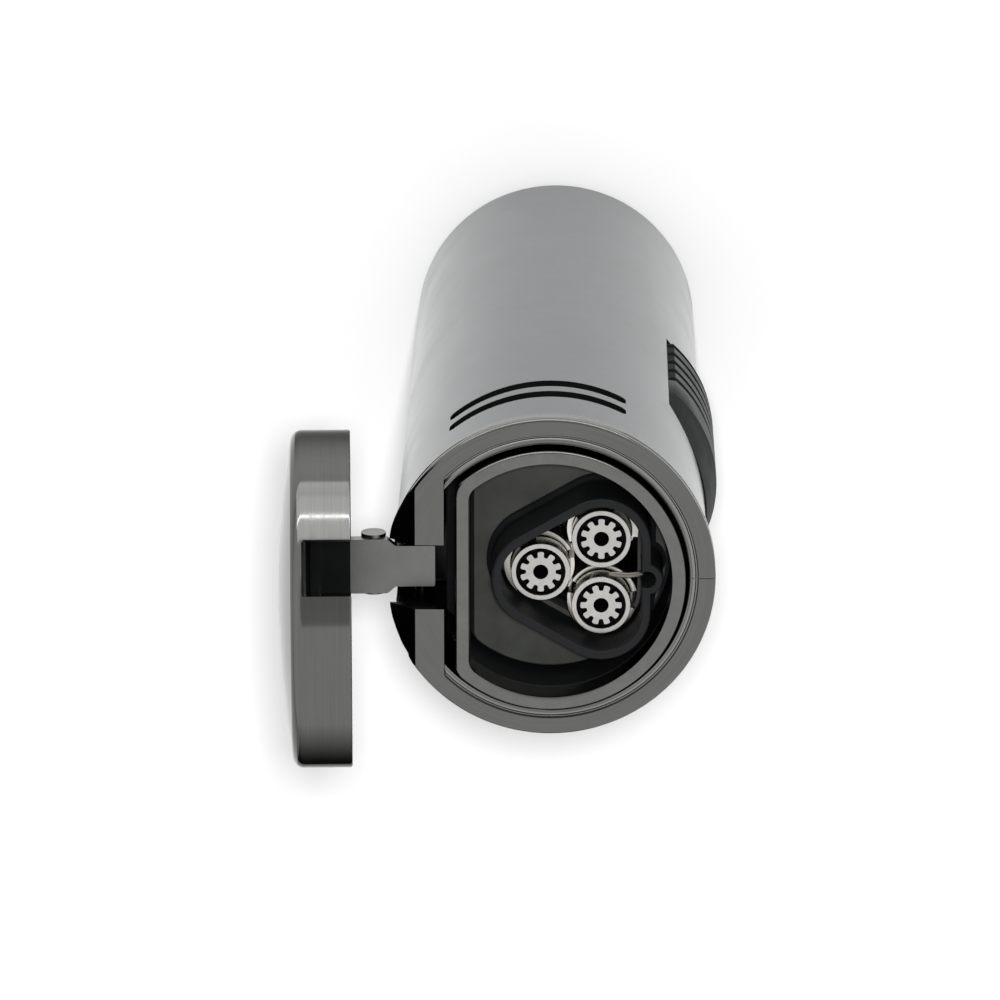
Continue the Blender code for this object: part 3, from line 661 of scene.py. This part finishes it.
def jet_shroud():
    """The wall round the jets, with a spread foot and a lobe for the electrode."""
    outer, inner = 4.2, 3.4
    rings = []
    for grow, lobe_grow, z in (
        (0.45, 0.3, SHROUD_BOTTOM),
        (0.45, 0.3, SHROUD_BOTTOM + 0.35),
        (0.3, 0.2, SHROUD_BOTTOM + 0.5),
        (0.06, 0.05, SHROUD_BOTTOM + 0.62),
        (0.0, 0.0, SHROUD_BOTTOM + 0.8),
        (0.0, 0.0, SHROUD_TOP - 0.22),
        (-0.06, -0.05, SHROUD_TOP - 0.07),
        (-0.2, -0.14, SHROUD_TOP),
    ):
        rings.append(level(around_jets_with_lobe(outer + grow, 1.35 + lobe_grow), z))
    for grow, z in (
        (0.14, SHROUD_TOP),
        (0.04, SHROUD_TOP - 0.06),
        (0.0, SHROUD_TOP - 0.18),
        (0.0, SHROUD_BOTTOM),
    ):
        rings.append(level(around_jets_with_lobe(inner + grow, 0.72 + grow * 0.6), z))
    shroud = skin("shroud_wall", rings, closed=True)
    smooth(shroud, 50.0)
    show(shroud, "housing", "black_plastic", (black_plastic,), "jet_shroud")


def petal_wheel(centre, root, tip, turn):
    """Ten round-ended petals on a hub."""
    outline = []
    for index in range(10):
        middle = index * 36.0 + turn
        for share, radius in (
            (-0.36, root),
            (-0.31, root + 0.06),
            (-0.27, tip - 0.08),
            (-0.2, tip),
            (0.0, tip + 0.02),
            (0.2, tip),
            (0.27, tip - 0.08),
            (0.31, root + 0.06),
            (0.36, root),
            (0.5, root - 0.02),
        ):
            angle = math.radians(middle + share * 36.0)
            outline.append((centre[0] + radius * math.cos(angle), centre[1] + radius * math.sin(angle)))
    return outline


def jet_nozzle(number, centre, turn):
    """A bright ring round a petal wheel, over a recess blackened as painted shade."""
    inner = NOZZLE_RADIUS - 0.47
    head = NOZZLE_TOP - 2.0
    recess = NOZZLE_TOP - 0.9
    profile = [(ORIFICE_RADIUS, NOZZLE_TOP - 1.6), (ORIFICE_RADIUS, recess), (inner, recess)]
    profile += [(inner, NOZZLE_TOP - 0.06), (inner + 0.05, NOZZLE_TOP)]
    profile += arc((NOZZLE_RADIUS - 0.07, NOZZLE_TOP - 0.07), 0.07, 90.0, 0.0, 6)
    profile += [(NOZZLE_RADIUS, head + 0.1), (NOZZLE_RADIUS - 0.1, head)]
    profile += [(1.9, head), (1.9, NOZZLE_BOTTOM), (ORIFICE_RADIUS, NOZZLE_BOTTOM)]
    ring = turned(f"nozzle_{number}", profile, centre, 96, closed=True)
    smooth(ring, 40.0)

    def away(at):
        return math.hypot(at.x - centre[0], at.y - centre[1])

    # Painted shade: the ring's bore below its top is blackened.
    blacken(ring, lambda at, out: away(at) < inner + 0.02 and at.z < NOZZLE_TOP - 0.07)
    show(ring, "housing", "bright_steel", (steel, steel_painted_highlight, painted_shade_black), f"jet_nozzle_{number}")
    wheel = []
    for inset, z in ((0.0, NOZZLE_TOP - 1.2), (0.0, NOZZLE_TOP - 0.12), (0.06, NOZZLE_TOP - 0.04)):
        wheel.append(level(petal_wheel(centre, inner - 0.74 - inset, inner - 0.26 - inset, turn), z))
    petals = skin(f"nozzle_wheel_{number}", wheel)
    hole = [(0.0, NOZZLE_TOP - 1.5), (0.64, NOZZLE_TOP - 1.5), (0.64, NOZZLE_TOP - 0.16)]
    hole += [(ORIFICE_RADIUS, ABOVE_ALL), (0.0, ABOVE_ALL)]
    cut(petals, turned("orifice", hole, centre, 48))
    soften(petals, 0.03)
    smooth(petals, 40.0)
    # Painted shade: the petals' sides below their tops are blackened.
    blacken(petals, lambda at, out: abs(out.z) < 0.5 and at.z < NOZZLE_TOP - 0.15)
    show(petals, "housing", "bright_steel", (steel, steel_painted_highlight, painted_shade_black))


def jet_sleeve(number, centre, outward, gaps):
    """A thin sleeve round a nozzle's stem. It flares a little where no other jet is near."""
    bore = 2.45
    flare_width = 0.2
    rings = []
    for radius, flare, z in (
        (bore, 0.0, SLEEVE_BOTTOM),
        (bore, 0.0, SLEEVE_TOP - 1.2),
        (bore, 0.7, SLEEVE_TOP - 0.04),
        (bore + 0.04, 0.7, SLEEVE_TOP),
        (SLEEVE_RADIUS - 0.04, 1.3, SLEEVE_TOP),
        (SLEEVE_RADIUS, 1.3, SLEEVE_TOP - 0.04),
        (SLEEVE_RADIUS, 0.2, SLEEVE_TOP - 1.4),
        (SLEEVE_RADIUS, 0.0, SLEEVE_BOTTOM),
    ):
        ring = []
        for step in range(120):
            angle = math.radians(3.0 * step)
            facing = max(0.0, math.cos(angle - math.radians(outward)) * 0.6 + 0.4)
            out = radius + flare_width * flare * min(1.0, facing * 1.6)
            ring.append((centre[0] + out * math.cos(angle), centre[1] + out * math.sin(angle), z))
        rings.append(ring)
    sleeve = skin(f"sleeve_{number}", rings, closed=True)
    for start, end in gaps:
        sector = [centre] + arc(centre, 4.0, start, end, 8)
        cut(sleeve, upright("air_gap", sector, SLEEVE_TOP - 1.6, SLEEVE_TOP + 1.0))
    soften(sleeve, 0.03)
    smooth(sleeve, 40.0)
    show(sleeve, "housing", "bright_steel", (sleeve_metal, steel_painted_highlight), f"jet_sleeve_{number}")


def electrode():
    """A flattened wire that comes up through the lobe and points at the jets."""
    level_z = FACE - 1.15
    bend = 0.7
    bend_x = LOBE[0] - bend
    path = [Vector((LOBE[0], 0.0, 70.0)), Vector((LOBE[0], 0.0, level_z - 0.9))]
    for index in range(7):
        angle = math.radians(90.0 * index / 6)
        path.append(Vector((bend_x + bend * math.cos(angle), 0.0, level_z - bend + bend * math.sin(angle))))
    path += [Vector((6.6, -0.1, level_z)), Vector((5.6, -0.02, level_z)), Vector((5.0, 0.02, level_z - 0.04))]
    rings = []
    for index, point in enumerate(path):
        ahead = path[min(index + 1, len(path) - 1)] - path[max(index - 1, 0)]
        ahead.normalize()
        side = Vector((0.0, 1.0, 0.0))
        rise = ahead.cross(side).normalized()
        slim = 0.6 if index == len(path) - 1 else 1.0
        ring = []
        for step in range(16):
            angle = 2 * math.pi * step / 16
            across = side * (0.27 * slim * math.cos(angle))
            ring.append(point + across + rise * (0.2 * slim * math.sin(angle)))
        rings.append(ring)
    pin = skin("electrode_pin", rings)
    smooth(pin, 60.0)
    show(pin, "housing", "bright_steel", (nickel,), "electrode")


# --- trigger -----------------------------------------------------------------------------


def trigger():
    """A crowned pad with cross grooves, two webs to its pin and a boss for the spring."""
    low, high = TRIGGER_LOW, TRIGGER_HIGH
    groove_pitch = 2.68
    groove_bed = 0.65
    crown = (3.3, 0.0)
    outer = high.x - crown[0]
    inner = outer - 1.9
    profile = [(outer - 1.1, high.z + 0.6)]
    profile += arc((outer - 3.0, 57.0), 3.0, 12.0, 0.0, 6)
    profile += [(outer, low.z - 0.6), (inner, low.z - 0.6), (inner, high.z + 0.6)]
    pad = turned("trigger_pad", profile, crown, 360, closed=True)
    outline = arched(8.3, low.z, high.z, 10.0)
    use(pad, along_x("pad_outline", outline, 10.0, 18.0), "INTERSECT")
    for index in range(5):
        top = low.z + 1.35 + index * groove_pitch
        profile = [(outer + 1.0, top), (outer - 0.05, top), (outer - 0.2, top - 0.1)]
        profile += [(outer - groove_bed, top - 0.4), (outer - groove_bed, top - 0.75)]
        profile += [(outer - 0.2, top - 1.2), (outer - 0.05, top - 1.35), (outer + 1.0, top - 1.35)]
        cut(pad, turned("groove", profile, crown, 180, closed=True))
    for y in (2.4, -3.8):
        fuse(pad, along_y("web", rounded_box(8.2, 60.8, 12.6, 64.0, 0.3), y, y + 1.4))
        fuse(pad, along_y("toe", rounded_box(2.6, 60.8, 8.6, 62.8, 0.3), y, y + 1.4))
    fuse(pad, along_y("boss", rounded_box(10.0, 48.7, 13.1, 51.3, 0.3), -2.0, 2.0))
    cut(pad, along_y("pin_bore", circle(TRIGGER_PIN, 0.75, 48), -6.0, 6.0))
    soften(pad, 0.12, 3, 25.0)
    smooth(pad, 35.0)

    # Painted shade: the grooves are blackened. The top above the ribs is the plastic's own black.
    def top_or_groove(at, out):
        sunk = math.hypot(at.x - crown[0], at.y) < outer - 0.12
        return at.z > 57.0 or at.z < 53.5 and sunk and at.x > 10.1

    blacken(pad, top_or_groove)
    show(pad, "trigger", "black_plastic", (trigger_plastic, trigger_plastic, trigger_black), "trigger")


# --- lid ---------------------------------------------------------------------------------


def lid_shell():
    """The crowned cap with a notch in its skirt."""
    low = LID_LOW
    radius = 14.1
    notch_turn = math.radians(28.5)
    fillet = 1.0
    crown = 1.1
    shoulder = low + 5.0
    side = radius - fillet
    profile = []
    for index in range(25):
        share = index / 25
        profile.append((side * share, shoulder + crown * (1 - share**2)))
    profile += arc((side, shoulder - fillet), fillet, 85.0, 0.0, 12)
    profile += [(radius, low + 0.16), (radius - 0.05, low + 0.05), (radius - 0.16, low)]
    profile += [(radius - 0.72, low), (radius - 0.8, low + 0.1), (radius - 0.8, low + 3.9)]
    profile += [(radius - 1.5, low + 4.6), (0.0, low + 4.6)]
    lid = turned("lid_cap", profile, steps=240)
    notch = rounded_box(-2.35, low - 2.0, 2.35, low + 4.05, 0.2)
    tool = along_x("lid_notch", notch, 10.0, 16.0)
    tool.matrix_world = Matrix.Rotation(notch_turn, 4, "Z")
    cut(lid, tool)
    smooth(lid, 30.0)
    round_normals(lid)
    for face in lid.data.polygons:
        if face.normal.z > 0.6:
            face.material_index = EDGE

    # Painted shade: the rim's underside and the cap's inside are blackened.
    def edge_or_inside(at, out):
        return at.z < low + 0.08 or math.hypot(at.x, at.y) < radius - 0.3 and at.z < low + 4.7

    blacken(lid, edge_or_inside)
    opened(lid)
    show(lid, "lid", "gunmetal", (lid_metal, dome_metal, lid_painted_shade), "lid_shell")


def lid_arm():
    """The arm from the hinge to the lid's rim, and its root and foot inside the lid, black as painted shade.
    """
    foot_top = LID_LOW + 3.5
    inner_x = HINGE.x + 2.55
    low = HINGE.z - 1.15
    neck = HINGE.z + 2.5
    side = arc((1.7, low + 0.1), 0.1, -90.0, 0.0, 4)
    side += [(1.8, neck - 0.5)]
    side += [(1.8 + 0.6 * t * t * (3 - 2 * t), neck - 0.4 + 0.9 * t) for t in (0.1, 0.3, 0.5, 0.7, 0.9)]
    side += [(2.4, neck + 0.6), (2.4, foot_top - 0.2)]
    outline = side + [(-y, z) for y, z in reversed(side)]
    rim_line = FACE + 0.45
    visible = [(y, min(z, rim_line)) for y, z in outline]
    hidden = [(-2.4, rim_line + 0.02), (2.4, rim_line + 0.02), (2.4, foot_top - 0.1), (-2.4, foot_top - 0.1)]
    root = along_x("arm_root", hidden, inner_x - 1.0, inner_x)
    arm = along_x("arm", visible, inner_x - 1.0, inner_x)
    knuckle = circle((HINGE.x, HINGE.z), 1.15, 48)
    fuse(arm, along_y("knuckle", knuckle, -1.8, 1.8))
    web = rounded_box(HINGE.x, low, inner_x - 0.3, HINGE.z + 1.15, 0.1, 2)
    fuse(arm, along_y("web", web, -1.79, 1.79))
    barrel = circle((HINGE.x + 1.1, HINGE.z + 4.05), 1.05, 48)
    fuse(arm, along_y("barrel", barrel, -2.65, 2.65))
    foot = rounded_box(inner_x - 2.2, -6.0, inner_x + 2.6, 6.0, 1.0)
    fuse(root, upright("foot", foot, foot_top - 0.9, foot_top))
    cut(arm, along_y("pin_bore", circle((HINGE.x, HINGE.z), 0.65, 48), -4.0, 4.0))
    for y in (RIVET_Y, -RIVET_Y):
        cut(root, upright("rivet_hole", circle((RIVET_X, y), RIVET_HOLE_RADIUS, 32), 80.0, 95.0))
    for obj, width in ((arm, 0.09), (root, 0.15)):
        soften(obj, width, 2, 40.0)
        smooth(obj, 35.0)
        opened(obj)
    show(arm, "lid", "gunmetal", (arm_metal, arm_painted_shade), "lid_arm")
    # Painted shade: the root and foot are black.
    show(root, "lid", "gunmetal", (lid_painted_shade, lid_painted_shade))


def lid_liner():
    top = LID_LOW + 4.3
    profile = [(0.0, top), (12.3, top), (12.4, top - 0.1), (12.4, top - 0.4), (12.3, top - 0.5)]
    profile += [(10.6, top - 0.5), (10.5, top - 0.42), (10.3, top - 0.42), (10.2, top - 0.5)]
    profile += [(0.0, top - 0.5)]
    liner = turned("liner", profile, steps=160)
    for y in (RIVET_Y, -RIVET_Y):
        cut(liner, upright("liner_hole", circle((RIVET_X, y), RIVET_HOLE_RADIUS, 32), 80.0, 95.0))
    smooth(liner, 30.0)
    opened(liner)
    show(liner, "lid", "black_plastic", (black_plastic,), "lid_liner")


def lid_rivet(number, y):
    bottom = LID_LOW + 2.6
    profile = [(0.0, bottom + 1.6), (0.6, bottom + 1.6), (0.6, bottom - 0.2), (1.25, bottom - 0.2)]
    profile += arc((0.5, bottom - 0.3), 0.75, -8.0, -80.0, 8)
    profile += [(0.0, bottom - 1.06)]
    rivet = turned(f"rivet_{number}", profile, (RIVET_X, y), 48)
    smooth(rivet, 40.0)
    opened(rivet)
    show(rivet, "lid", "bright_steel", (steel,), f"lid_rivet_{number}")


# --- base --------------------------------------------------------------------------------


def base_plate():
    high = reach("base_plate")[1]
    radius = high.x
    profile = [(0.0, high.z), (radius, high.z), (radius, 0.15), (radius - 0.15, 0.0)]
    profile += [(radius - 1.0, 0.0), (radius - 1.05, 0.08), (radius - 1.2, 0.08), (radius - 1.25, 0.0)]
    profile += [(0.0, 0.0)]
    plate = turned("base", profile, steps=192)
    for x in (7.5, -7.5):
        cut(plate, upright("screw_hole", circle((x, 0.0), 1.1, 32), -1.0, 3.0))
        cut(plate, upright("screw_head", circle((x, 0.0), 1.9, 48), -1.0, 1.6))
    for y in (5.5, -5.5):
        cut(plate, upright("valve_hole", circle((0.0, y), 2.9, 64), -1.0, 3.0))
    soften(plate, 0.08)
    smooth(plate)
    show(plate, "housing", "gunmetal", (collar_metal, collar_painted_highlight), "base_plate")


# --- studio ------------------------------------------------------------------------------


def camera():
    """A long lens high above the open end, which appears right of and below the middle."""
    pitch = math.radians(17.37)
    turn = math.radians(2.83)
    distance = 0.48714
    to_the_left, above = 0.004222, 0.006586
    back = Vector((math.sin(turn) * math.sin(pitch), math.cos(turn) * math.sin(pitch), math.cos(pitch)))
    right = Vector((0.0, 1.0, 0.0)).cross(back).normalized()
    up = back.cross(right)
    place = Vector((0.0, 0.0, FACE * MM)) + back * distance
    place -= right * to_the_left
    place += up * above
    data = bpy.data.cameras.new("camera")
    data.sensor_width = 36.0
    data.lens = 207.69
    data.clip_end = 10.0
    cam = bpy.data.objects.new("camera", data)
    bpy.context.scene.collection.objects.link(cam)
    cam.matrix_world = Matrix.Translation(place) @ Matrix((right, up, back)).transposed().to_4x4()
    bpy.context.scene.camera = cam


def softbox(name, place, target, size_x, size_y, power):
    data = bpy.data.lights.new(name, "AREA")
    data.shape = "RECTANGLE"
    data.size = size_x
    data.size_y = size_y
    data.energy = power
    lamp = bpy.data.objects.new(name, data)
    bpy.context.scene.collection.objects.link(lamp)
    lamp.location = place
    lamp.rotation_euler = (Vector(target) - Vector(place)).to_track_quat("-Z", "Y").to_euler()
    return lamp


def sky():
    """A white surround with a dark round patch on the camera's side of the studio."""
    patch_direction = (0.0, 0.3, 0.954)
    world = bpy.data.worlds.new("studio")
    bpy.context.scene.world = world
    world.use_nodes = True
    tree = world.node_tree
    place = tree.nodes.new("ShaderNodeTexCoord")
    facing = tree.nodes.new("ShaderNodeVectorMath")
    facing.operation = "DOT_PRODUCT"
    facing.inputs[1].default_value = patch_direction
    tree.links.new(place.outputs["Generated"], facing.inputs[0])
    ramp = tree.nodes.new("ShaderNodeValToRGB")
    tree.links.new(facing.outputs["Value"], ramp.inputs[0])
    tones = ((0.0, 1.0), (0.945, 1.0), (0.957, 0.55), (1.0, 0.5))
    while len(ramp.color_ramp.elements) < len(tones):
        ramp.color_ramp.elements.new(0.5)
    for element, (position, value) in zip(ramp.color_ramp.elements, tones):
        element.position = position
        element.color = (value, value, value, 1.0)
    background = tree.nodes["Background"]
    tree.links.new(ramp.outputs[0], background.inputs[0])
    background.inputs[1].default_value = 1.0


def lights():
    """A key light that isn't reflected, and two level boxes that light only reflections."""
    key = softbox("key", (0.007, 0.157, 0.55), (0.0, 0.0, 0.05), 0.028, 0.028, 2.7)
    key.visible_glossy = False
    for name, away, height, size, power in (
        ("side_box", 0.22, 0.135, 0.185, 0.29),
        ("strip", 0.21, 0.15, 0.006, 0.07),
    ):
        box = softbox(name, (-0.02, away, height), (-0.02, 0.0, height), 0.35, size, power)
        box.visible_diffuse = False


def floor_paper():
    bpy.ops.mesh.primitive_plane_add(size=6)
    floor = bpy.context.active_object
    floor.name = "floor"
    n = Nodes("floor_paper")
    tone = n.blend(n.spread(n.noise(n.place, 30.0), 0.0, 1.0), (0.63, 0.63, 0.63), (0.65, 0.65, 0.65))
    n.link(tone, n.shader.inputs["Base Color"])
    n.set(Roughness=0.9, Specular_IOR_Level=0.1)
    floor.data.materials.append(n.material)


def reflected_card():
    """An upright card behind the lighter, brighter with height, that shows only in reflections."""
    flag = along_y("flag", rounded_box(-60.0, 1.0, 20.0, 125.0, 2.0), -102.0, -100.0)
    n = Nodes("grey_card")
    parts = n.add("ShaderNodeSeparateXYZ")
    n.link(n.place, parts.inputs[0])
    glow_per_metre = 8.0
    height = n.maths("MULTIPLY", parts.outputs["Z"], glow_per_metre)
    n.link(n.maths("MULTIPLY", height, height), n.shader.inputs["Emission Strength"])
    n.set(Base_Color=(0.02, 0.02, 0.02, 1.0), Emission_Color=(1.0, 1.0, 1.0, 1.0), Specular_IOR_Level=0.0)
    flag.data.materials[0] = n.material
    flag.visible_camera = False
    flag.visible_diffuse = False
    flag.visible_shadow = False


# --- CAD nodes that stay -------------------------------------------------------------------


def dress_cad_nodes():
    finishes = {
        "burner_base": black_plastic,
        "gas_manifold": black_metal,
        "gas_tube": smoke,
        "chassis": black_plastic,
        "fuel_tank": smoke,
        "tank_floor": smoke,
        "outlet_valve": brass,
        "valve_stem": steel,
        "valve_lever": steel,
        "lever_pin": steel,
        "trigger_pin": steel,
        "trigger_spring": steel,
        "piezo_body": white,
        "piezo_plunger": black_plastic,
        "ignition_wire": black_plastic,
        # Painted shade: the hinge pin is dark to stand for the shade under the arm.
        "hinge_pin": dark_pin,
        "base_screw_1": steel,
        "base_screw_2": steel,
        "flame_adjuster": brass,
        "refill_bushing": brass,
        "refill_valve": steel,
    }
    for node, material in finishes.items():
        for place in frame["nodes"][node].material_slots:
            place.material = material


body_tube()
top_collar()
burner_rim()
chamber_floor()
jet_shroud()
for number, turn in enumerate((18.0, 18.0, 0.0), start=1):
    jet_nozzle(number, JETS[number - 1], turn)
jet_sleeve(1, JETS[0], 180.0, ((100.0, 140.0), (12.0, 28.0), (230.0, 250.0)))
jet_sleeve(2, JETS[1], 60.0, ((60.0, 150.0), (-40.0, -10.0), (200.0, 330.0)))
jet_sleeve(3, JETS[2], -60.0, ((-20.0, 10.0), (150.0, 172.0), (250.0, 268.0)))
electrode()
trigger()
lid_shell()
lid_arm()
lid_liner()
lid_rivet(1, RIVET_Y)
lid_rivet(2, -RIVET_Y)
base_plate()
dress_cad_nodes()
camera()
sky()
lights()
floor_paper()
reflected_card()
bpy.context.scene.view_settings.view_transform = "Standard"
